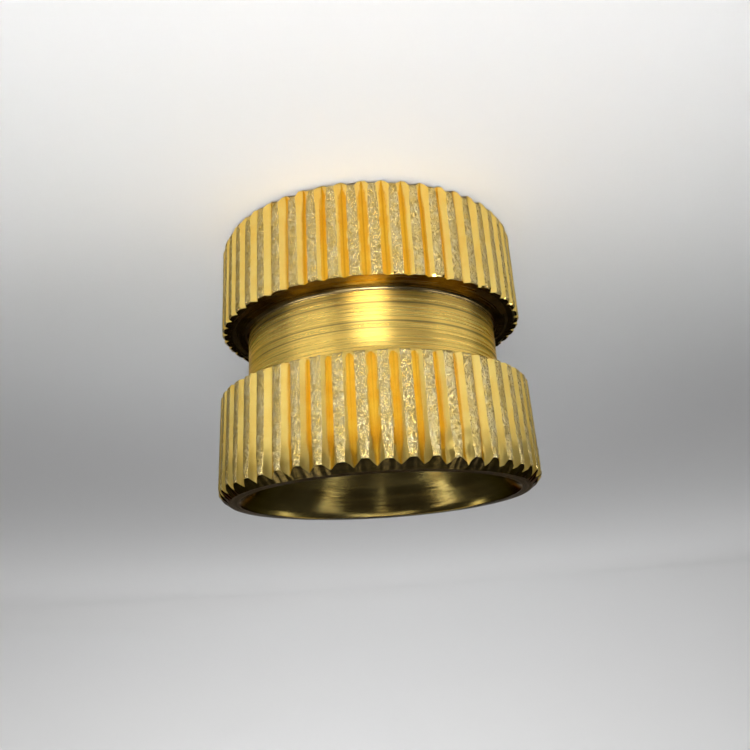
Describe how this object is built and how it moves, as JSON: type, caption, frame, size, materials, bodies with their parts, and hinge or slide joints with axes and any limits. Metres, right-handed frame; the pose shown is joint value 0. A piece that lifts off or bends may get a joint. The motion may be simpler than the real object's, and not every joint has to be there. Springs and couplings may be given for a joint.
{
  "type": "knurled threaded insert",
  "caption": "Short turned brass insert: straight-knurled bands at both ends, a smooth turned neck between them, and a threaded through bore with countersunk mouths.",
  "frame": {"origin": "middle of the lower end, on the axis", "axes": "+Z along the axis, up through the bore; a knurl groove faces -Y"},
  "size_m": [0.008, 0.008, 0.007],
  "materials": {
    "brass": "bright turned brass, grainy on the knurl crests, burnished in the grooves"
  },
  "bodies": {
    "root": {"insert_body": "brass"}
  },
  "joints": []
}
